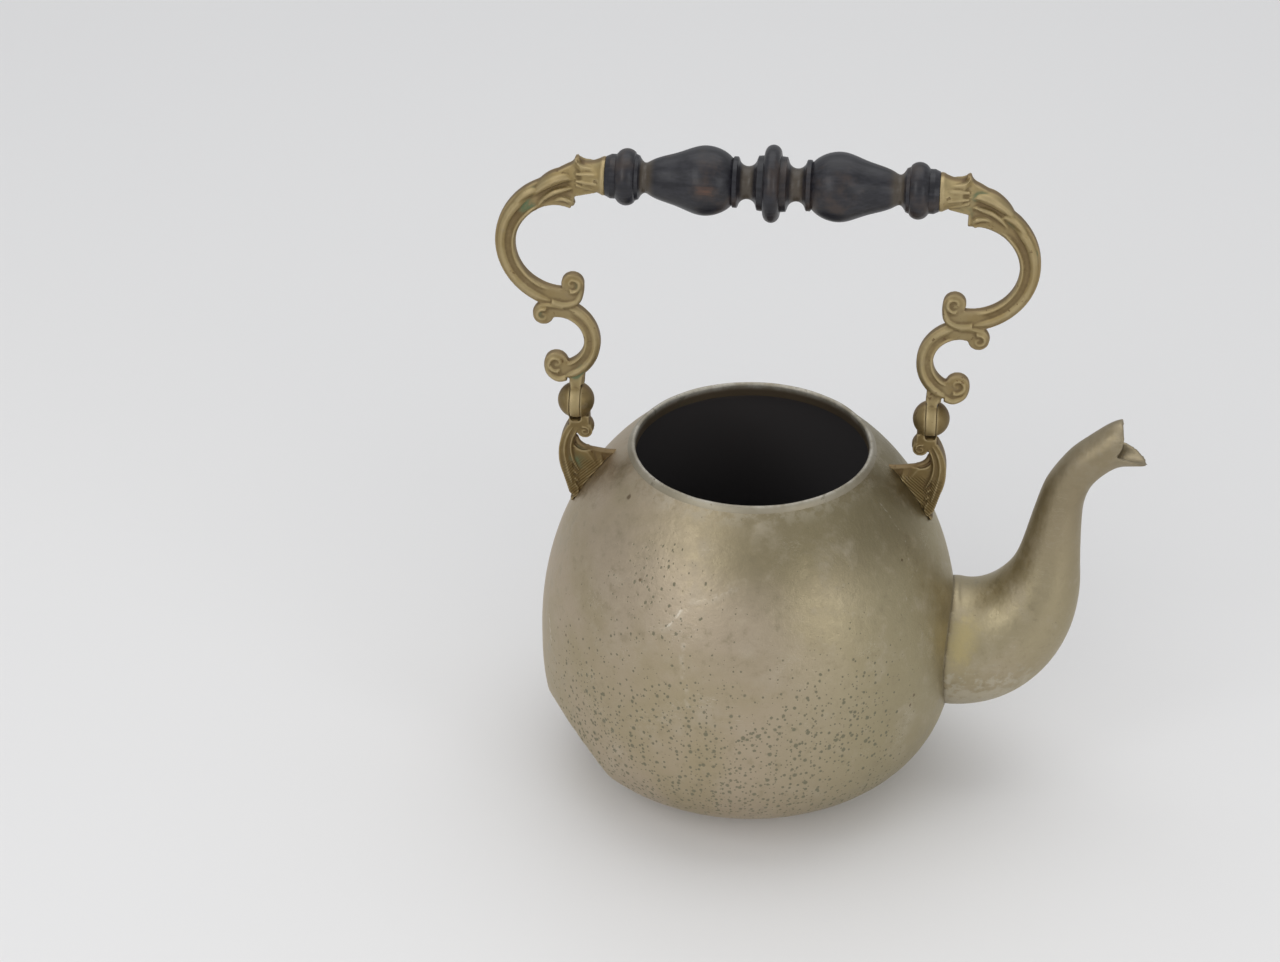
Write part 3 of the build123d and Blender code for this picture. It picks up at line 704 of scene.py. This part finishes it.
grip_low, grip_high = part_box("grip")
grip_middle = (grip_low + grip_high) / 2
wood_finish = ebonised("ebonised_wood", grip_middle)
wear(nodes["grip"], wood_finish)
print("grip middle", [round(c / MM, 1) for c in grip_middle])

# %% [markdown]
# ## How the castings are built up
#
# A founder carves a pattern in wax: bars, leaves and curls are laid on a plain core and blended with
# a warm tool. Here the CAD solid is the core. Rounded bars are laid along its scrolls, and a voxel
# remesh with a few rounds of smoothing blends them into one skin.

# %% Bars, blending and hollows
pin_low, pin_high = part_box("front_hinge_pin")
HINGE_X = (pin_low.x + pin_high.x) / 2
HINGE_Z = (pin_low.z + pin_high.z) / 2
GRIP_X, GRIP_Z = grip_middle.x, grip_middle.z
HALF_GRIP = (grip_high.x - grip_low.x) / 2
LEAN = math.radians(3.3)
COLLAR = 8.8  # length of the socket's collar, in millimetres
BEAD_STEPS = 32
CURL_STEPS = 28
CURL_BEAD = 1.05  # half width of the bead in a curl, in millimetres
# Sides of the voxels that melt the castings, in metres
ARM_GRAIN = 0.00027
EAR_GRAIN = 0.00022


def on_scroll(side, u, v):
    """World x and z of a place u outwards and v up from the ball, along the leaning bail."""
    x = side * (HINGE_X + u * MM * math.cos(LEAN)) + v * MM * math.sin(LEAN)
    return x, HINGE_Z - side * u * MM * math.sin(LEAN) + v * MM * math.cos(LEAN)


def on_socket(side, a, b):
    """World x and z of a place a outwards from the wood's end and b up from the grip's middle line."""
    return GRIP_X + side * (HALF_GRIP + a * MM), GRIP_Z + b * MM


def on_ear(side, out, up):
    """World x and z of a place out from the hinge and up from it, on an ear."""
    return side * (HINGE_X + out * MM), HINGE_Z + up * MM


def flowing(points, steps=6):
    """More points on a smooth line through the given ones, each with its half width."""
    line = []
    padded = [points[0], *points, points[-1]]
    for before, start, end, after in zip(padded, padded[1:], padded[2:], padded[3:]):
        for step in range(steps):
            t = step / steps
            line.append(tuple(
                0.5 * (2 * q + (r - p) * t + (2 * p - 5 * q + 4 * r - s) * t ** 2
                       + (3 * q - p - 3 * r + s) * t ** 3)
                for p, q, r, s in zip(before, start, end, after)))
    return [*line, points[-1]]


def bar(points, deep):
    """A rounded bar through (x, z, half width) points. Deep is its depth over its width."""
    curve = bpy.data.curves.new("bar", "CURVE")
    curve.dimensions = "3D"
    curve.bevel_depth = MM
    curve.bevel_resolution = 3
    curve.use_fill_caps = True
    spline = curve.splines.new("POLY")
    spline.points.add(len(points) - 1)
    for point, (x, z, width) in zip(spline.points, points):
        point.co = (x, 0, z, 1)
        point.radius = width
    piece = bpy.data.objects.new("bar", curve)
    bpy.context.collection.objects.link(piece)
    choose(piece)
    bpy.ops.object.convert(target="MESH")
    piece = bpy.context.object
    for vertex in piece.data.vertices:
        vertex.co.y *= deep
    return piece


def bar_at(place, side, points, deep):
    """A bar whose points are given in the millimetres of a scroll, a socket or an ear."""
    return bar([(*place(side, out, up), width) for out, up, width in points], deep)


def core(node, name):
    """A copy of a CAD solid with its doubled points merged, to build a casting on."""
    piece = bpy.data.objects.new(name, nodes[node].data.copy())
    bpy.context.collection.objects.link(piece)
    piece.matrix_world = nodes[node].matrix_world
    choose(piece)
    bpy.ops.object.transform_apply(location=True, rotation=True, scale=True)
    bpy.ops.object.mode_set(mode="EDIT")
    bpy.ops.mesh.select_all(action="SELECT")
    bpy.ops.mesh.remove_doubles(threshold=0.000001)
    bpy.ops.object.mode_set(mode="OBJECT")
    return piece


def from_wood(vertex):
    """How far a point lies outwards from the wood's end, in millimetres."""
    return (abs(vertex.co.x - GRIP_X) - HALF_GRIP) / MM


def thin_faces(piece, limit, reach):
    """Sets the flat faces of an arm back, so that the beads and leaves stand up from them."""
    for vertex in piece.data.vertices:
        deep = abs(vertex.co.y) / MM
        clear = from_wood(vertex) > COLLAR or vertex.co.z < GRIP_Z - 12 * MM
        if clear and vertex.co.z > HINGE_Z + 7 * MM and deep > limit:
            vertex.co.y *= reach / deep


def melt(piece, grain, rounds):
    """Turns the active piece into one even skin and smooths it."""
    wax = piece.modifiers.new("wax", "REMESH")
    wax.mode = "VOXEL"
    wax.voxel_size = grain
    bpy.ops.object.modifier_apply(modifier="wax")
    tool = piece.modifiers.new("warm_tool", "SMOOTH")
    tool.factor = 0.5
    tool.iterations = rounds
    bpy.ops.object.modifier_apply(modifier="warm_tool")


def blend(piece, bars, grain, rounds):
    """Joins bars to a core, melts them into one skin and marks its hollows."""
    deselect()
    for each in (*bars, piece):
        each.select_set(True)
    bpy.context.view_layer.objects.active = piece
    bpy.ops.object.join()
    melt(piece, grain, rounds)
    bpy.ops.object.shade_smooth()
    mark_hollows(piece)
    print(piece.name, len(piece.data.polygons), "faces")


def mark_hollows(piece, rounds=16):
    """Stores, for each point, how far a much smoothed skin would stand above it, in millimetres."""
    mesh = piece.data
    count = len(mesh.vertices)
    places = np.empty(count * 3)
    mesh.vertices.foreach_get("co", places)
    places = places.reshape(-1, 3)
    normals = np.empty(count * 3)
    mesh.vertices.foreach_get("normal", normals)
    edges = np.empty(len(mesh.edges) * 2, dtype=int)
    mesh.edges.foreach_get("vertices", edges)
    first, second = edges.reshape(-1, 2).T
    neighbours = np.bincount(first, minlength=count) + np.bincount(second, minlength=count)
    smoothed = places.copy()
    for _ in range(rounds):
        total = np.stack([
            np.bincount(first, weights=smoothed[second, axis], minlength=count)
            + np.bincount(second, weights=smoothed[first, axis], minlength=count)
            for axis in range(3)], axis=1)
        smoothed = total / neighbours[:, None]
    depth = ((smoothed - places) * normals.reshape(-1, 3)).sum(axis=1) / MM
    mark = mesh.attributes.new("hollow", "FLOAT", "POINT")
    mark.data.foreach_set("value", depth.astype(np.float32))


print("hinge at", round(HINGE_X / MM, 2), round(HINGE_Z / MM, 2), "mm")

# %% [markdown]
# ## Scroll arms
#
# Each C scroll carries a fat bead on its outside, a groove, and a thin bead on its inside. The beads
# run out into curls round a button. At the top long leaves lie over the big scroll, with a spur
# above and one below, and ribs run along the collar to a plain band at the wood.

# %% Scroll arms
# Rings, eyes and curls: outwards and up from the ball, and radius, in millimetres
SMALL_RING, SMALL_EYE = (8.2, 20.7, 14.8), (6.6, 21.1, 8.1)
BIG_RING, BIG_EYE = (4.5, 55.0, 22.9), (6.7, 53.8, 14.5)
LOW_CURL, HIGH_CURL, END_CURL = (6.7, 13.0, 3.7), (11.5, 29.5, 3.2), (3.0, 41.2, 3.5)


def across_ring(ring, eye, degrees, share):
    """A place on a C scroll, from its outer edge, 0, to its inner one, 1, and its width there."""
    dx, dz = math.cos(math.radians(degrees)), math.sin(math.radians(degrees))
    outer = (ring[0] + ring[2] * dx, ring[1] + ring[2] * dz)
    ox, oz = ring[0] - eye[0], ring[1] - eye[1]
    half = ox * dx + oz * dz
    reach = -half + math.sqrt(half * half - ox * ox - oz * oz + eye[2] ** 2)
    width = ring[2] - reach
    return outer[0] - dx * width * share, outer[1] - dz * width * share, width


def bead_on(side, ring, eye, turns, share, half_share, deep):
    """A bead along a C scroll from one turn to another, thinner at its ends."""
    points = []
    first, last = turns
    for step in range(BEAD_STEPS + 1):
        degrees = first + (last - first) * step / BEAD_STEPS
        u, v, width = across_ring(ring, eye, degrees, share)
        ease = min(1.0, 6 * step / BEAD_STEPS, 6 * (BEAD_STEPS - step) / BEAD_STEPS)
        points.append((*on_scroll(side, u, v), width * half_share * (0.35 + 0.65 * ease)))
    return bar(points, deep)


def curl_on(side, curl, start, turn):
    """A bead wound like a snail into a volute."""
    points = []
    for step in range(CURL_STEPS + 1):
        share = step / CURL_STEPS
        angle = math.radians(start + turn * share)
        radius = (curl[2] - CURL_BEAD) * (1 - share) ** 0.8 + 0.15
        u, v = curl[0] + radius * math.cos(angle), curl[1] + radius * math.sin(angle)
        points.append((u, v, CURL_BEAD - 0.35 * share))
    return bar_at(on_scroll, side, points, 2.2)


def fill_tongue(arm, side):
    """Fills the tongue out by a tenth of a millimetre, so that no light shows beside it in the ball."""
    for vertex in arm.data.vertices:
        off = vertex.co.x - side * HINGE_X
        if vertex.co.z < HINGE_Z + 5 * MM and 1.4 * MM < abs(off) < 1.65 * MM:
            vertex.co.x += math.copysign(FULL_TONGUE - abs(off), off)


def collar_rib(side, turn):
    """A rib along the collar, laid where its turn round the collar says."""
    rib = bar_at(on_socket, side, [(a, r * math.sin(turn), w) for a, r, w in COLLAR_RIB], 1.0)
    for vertex in rib.data.vertices:
        vertex.co.y += math.cos(turn) * (5.15 - 0.18 * from_wood(vertex)) * MM * -1
    return rib


# Leaves over the socket: outwards from the wood, up from the grip's line, half width, then depth
LEAVES = [
    ([(8.6, -1.2, 1.0), (12.0, -0.2, 1.9), (16.0, -1.4, 2.2), (20.0, -4.4, 1.7),
      (23.0, -8.0, 0.7)], 1.75),
    ([(9.2, -3.6, 0.7), (12.5, -4.3, 1.2), (16.0, -5.6, 1.3), (19.4, -8.6, 1.0),
      (21.6, -12.4, 0.4)], 2.3),
    ([(9.9, -9.9, 0.7), (11.4, -8.0, 1.2), (14.0, -7.8, 1.0), (17.0, -9.6, 0.5)], 2.2),
    ([(8.7, 6.0, 0.8), (8.3, 4.3, 1.1), (9.4, 2.6, 1.4), (12.0, 1.6, 1.0), (15.0, 0.9, 0.4)], 1.6),
]
# The long leaf on the big scroll, and the stems that run from the scrolls into their curls
STEMS = [
    ([(13.4, 71.8, 0.7), (15.2, 72.6, 1.4), (18.6, 70.9, 1.7), (21.8, 66.6, 1.4), (23.9, 61.2, 1.0),
      (24.8, 55.6, 0.4)], 1.7),
    ([(9.0, 34.4, 1.6), (4.9, 33.9, 1.6), (1.7, 35.2, 1.4), (0.6, 38.0, 1.2), (0.4, 41.2, 1.05)], 1.45),
    ([(5.4, 33.4, 1.5), (8.8, 33.5, 1.4), (12.2, 32.7, 1.2), (13.9, 30.4, 1.0), (13.5, 28.3, 0.9)], 1.5),
    ([(3.4, 8.2, 1.5), (6.0, 7.6, 1.5), (8.7, 9.2, 1.25), (9.6, 12.4, 1.05), (8.9, 15.0, 0.95)], 1.5),
]
# A rib of the collar: outwards from the wood, height, half width. Its turns are in degrees
COLLAR_RIB = [(1.6, 5.0, 0.3), (3.2, 4.55, 0.6), (6.0, 4.1, 0.6), (9.0, 3.4, 0.4)]
RIB_TURNS = (28, -8, -42, 152, 188, 222)
FULL_TONGUE = 1.69 * MM
for name, side in (("front_arm", 1), ("back_arm", -1)):
    arm = core(name, f"cast_{name}")
    thin_faces(arm, 3.0, 2.1)
    thin_faces(arm, 1.8, 1.45)
    fill_tongue(arm, side)
    bars = [
        bead_on(side, SMALL_RING, SMALL_EYE, (96, 262), 0.32, 0.28, 1.35),
        bead_on(side, SMALL_RING, SMALL_EYE, (100, 252), 0.87, 0.12, 3.0),
        bead_on(side, BIG_RING, BIG_EYE, (60, -88), 0.32, 0.27, 1.35),
        bead_on(side, BIG_RING, BIG_EYE, (60, -84), 0.87, 0.12, 2.8),
        curl_on(side, LOW_CURL, 250, 400),
        curl_on(side, HIGH_CURL, 110, -380),
        curl_on(side, END_CURL, 285, -400),
        *[bar_at(on_socket, side, flowing(points), deep) for points, deep in LEAVES],
        *[bar_at(on_scroll, side, flowing(points), deep) for points, deep in STEMS],
        *[collar_rib(side, math.radians(turn)) for turn in RIB_TURNS],
    ]
    blend(arm, bars, ARM_GRAIN, 3)
    wear(arm, brass_finish)
    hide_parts(name)
    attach(arm, "bail")

# %% [markdown]
# ## Ears
#
# An ear is a bulging rib with a leaf's edge laid over a web, a curl under the ball and a strip of
# metal where the web meets the body.

# %% Ears
# Lines laid on an ear: outwards and up from the hinge, and half width, in millimetres
RIB = [(0.9, -8.6, 1.5), (2.7, -12.0, 1.7), (3.6, -16.5, 1.7), (3.1, -21.0, 1.75), (2.1, -25.5, 1.8),
       (1.2, -29.3, 1.5), (0.9, -32.6, 0.9)]
STEM = [(-0.4, -9.6, 0.8), (1.0, -12.5, 0.9), (1.6, -16.0, 0.9), (1.0, -20.0, 0.9),
        (-0.4, -23.4, 0.8), (-1.8, -25.8, 0.5)]
HOOK = [(-1.6, -7.2, 1.0), (-3.9, -7.9, 1.2), (-4.5, -9.8, 1.1), (-3.2, -11.0, 1.1), (-2.2, -10.0, 1.0)]
STEP = [(-3.6, -6.4, 0.6), (-1.1, -6.5, 0.6), (1.6, -6.4, 0.6)]
CREST = [(0.3, -13.2, 0.8), (-0.8, -15.7, 0.9), (-3.4, -17.4, 0.95), (-6.8, -18.0, 0.9),
         (-10.5, -18.4, 0.85), (-14.0, -18.3, 0.95), (-16.2, -17.8, 1.0), (-17.3, -17.0, 0.6)]
# Each line with its depth over its width
EAR_LINES = [(RIB, 1.95), (STEM, 3.6), (HOOK, 2.5), (STEP, 4.2), (CREST, 1.25)]
TEETH = [(-0.2, -25.4, 0.9), (-0.5, -28.0, 0.9), (-0.6, -30.4, 0.8)]
EAR_CURL = (-2.9, -9.8)
EAR_CURL_STEPS = 24
# Heights in metres between which the strip runs
STRIP_FOOT, STRIP_TOP = 0.0925, 0.1070
STRIP_STEPS = 8
WEB_THIN = 0.45  # how thin the web's inner part is, against the solid's


def tooth_on(side, out, up, width):
    """A short tooth of the leaf's edge, which points down and inwards."""
    tooth = flowing([(out + 1.6, up + 1.6, width), (out, up - 0.3, width),
                     (out - 1.0, up - 1.9, width * 0.4)], 3)
    return bar_at(on_ear, side, tooth, 2.8 / width)


def ear_curl(side):
    """A small bead wound round the middle of the hook."""
    points = []
    for step in range(EAR_CURL_STEPS + 1):
        share = step / EAR_CURL_STEPS
        turn = math.radians(60 + 420 * share)
        reach = 1.55 * (1 - share) ** 0.8 + 0.12
        out, up = EAR_CURL[0] + reach * math.cos(turn), EAR_CURL[1] + reach * math.sin(turn)
        points.append((out, up, 0.78 - 0.06 * share))
    return bar_at(on_ear, side, points, 4.25)


def foot_strip(side):
    """A strip of metal where the web meets the body."""
    points = []
    for step in range(STRIP_STEPS + 1):
        height = STRIP_FOOT + (STRIP_TOP - STRIP_FOOT) * step / STRIP_STEPS
        points.append((side * (radius_at(height) + 0.5 * MM), height, 0.7 - 0.05 * step))
    return bar(points, 3.5)


for name, side in (("front_ear", 1), ("back_ear", -1)):
    ear = core(name, f"cast_{name}")
    for vertex in ear.data.vertices:
        inward = HINGE_X - abs(vertex.co.x)
        if inward > 3.5 * MM and -21 * MM < vertex.co.z - HINGE_Z < -13 * MM:
            vertex.co.y *= WEB_THIN
    bars = [bar_at(on_ear, side, flowing(line), deep) for line, deep in EAR_LINES]
    bars += [tooth_on(side, *tooth) for tooth in TEETH]
    bars += [ear_curl(side), foot_strip(side)]
    blend(ear, bars, EAR_GRAIN, 3)
    wear(ear, ear_finish)
    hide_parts(name)
    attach(ear, "kettle")

# %% [markdown]
# ## Spout
#
# The spout was worked from sheet over a mandrel, so its skin flows without a break and its lip has
# soft edges. A copy of the CAD solid is melted into one even skin and smoothed. A small fullness
# outside the neck takes out a hollow in its outline, the tip is drawn out again after the
# smoothing, and the root's edge is pressed against the body.

# %% Spout
# Where the neck is filled out and the tip drawn out, and by how much, in metres
NECK_X, NECK_Z, NECK_FULL = 0.0955, 0.0842, 0.75 * MM
TIP_X, TIP_DRAW = 0.1165, 0.4 * MM
# Below this height, points nearer to the body than this are pressed against it
ROOT_TOP, ROOT_LIFT = 0.08, 0.9 * MM
SPOUT_GRAIN = 0.0005
spout = core("spout", "smooth_spout")
melt(spout, SPOUT_GRAIN, 7)
for vertex in spout.data.vertices:
    outside = min(1.0, max(0.0, (vertex.co.x - NECK_X) / 0.007))
    vertex.co.x += NECK_FULL * outside * math.exp(-((vertex.co.z - NECK_Z) / 0.0065) ** 2)
    vertex.co.x += TIP_DRAW * max(0.0, (vertex.co.x - TIP_X) / 0.005)
    reach = math.hypot(vertex.co.x, vertex.co.y)
    gap = reach - radius_at(vertex.co.z) if vertex.co.z < ROOT_TOP else ROOT_LIFT
    if gap < ROOT_LIFT:
        inward = 1 - 0.8 * (ROOT_LIFT - gap) / reach
        vertex.co.x *= inward
        vertex.co.y *= inward
bpy.ops.object.shade_smooth()
wear(spout, spout_finish)
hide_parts("spout")
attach(spout, "kettle")
print("spout:", len(spout.data.polygons), "faces")

# %% Finishes of the parts that stay as they are
iron_finish = Finish("old_iron")
rust = iron_finish.noise(300.0, detail=4.0)
iron_colour = iron_finish.mix(rust, (0.10, 0.095, 0.09), (0.17, 0.12, 0.08))
iron_finish.set(Base_Color=iron_colour, Metallic=0.8, Roughness=0.5 + rust * 0.2)
pin_finish = cast_brass("pin_brass", (0.300, 0.230, 0.120), (0.220, 0.160, 0.080))
wear(nodes["tie_rod"], iron_finish)
for name in ("front_hinge_pin", "back_hinge_pin", "front_arm_pin", "back_arm_pin"):
    wear(nodes[name], pin_finish)
print("kept solids have their finishes")

# %% [markdown]
# ## Table and light
#
# The table is one pale sheet, and the metal mirrors it. Two soft boxes stand at the front, left and
# right, and make the two pale patches on the belly. A long warm one in front lifts the shadow under
# the body, and the metal does not mirror it. A wide one above lights the table, and the world adds
# an even light.

# %% Table and light
deselect()
bpy.ops.mesh.primitive_plane_add(size=6.0, location=(0, 0, 0))
table = bpy.context.object
table.name = "table"
table_finish = Finish("pale_table")
table_noise = table_finish.noise(3.0, detail=2.0)
table_colour = table_finish.mix(table_noise, (0.735, 0.735, 0.738), (0.750, 0.748, 0.745))
table_finish.set(Base_Color=table_colour, Roughness=0.45)
wear(table, table_finish)


def soft_box(name, place, aim, size, watts, roll=0.0):
    """A rectangular lamp that faces the aim, turned about its own line by roll degrees."""
    bpy.ops.object.light_add(type="AREA", location=place)
    lamp = bpy.context.object
    lamp.name = name
    lamp.data.shape = "RECTANGLE"
    lamp.data.size, lamp.data.size_y = size
    lamp.data.energy = watts
    lamp.rotation_euler = (Vector(aim) - Vector(place)).to_track_quat("-Z", "Y").to_euler()
    lamp.rotation_euler.rotate_axis("Z", math.radians(roll))
    return lamp


soft_box("box_left", (-0.75, -1.00, 0.98), (0, 0, 0.08), (0.40, 1.25), 4.7, roll=28)
soft_box("box_right", (0.95, -0.85, 0.55), (0, 0, 0.08), (0.40, 0.80), 2.2)
fill = soft_box("box_fill", (0.1, -1.5, 0.75), (0, 0, 0.02), (2.0, 0.7), 8.5)
fill.visible_glossy = False
fill.data.color = (1.0, 0.95, 0.90)
soft_box("box_top", (0.0, 0.4, 1.5), (0, 0, 0.0), (1.8, 1.4), 8.8)
world = bpy.context.scene.world or bpy.data.worlds.new("world")
bpy.context.scene.world = world
world.use_nodes = True
sky = world.node_tree.nodes["Background"].inputs
sky["Color"].default_value = (0.80, 0.81, 0.83, 1)
sky["Strength"].default_value = 0.67
bpy.context.scene.view_settings.view_transform = "Standard"
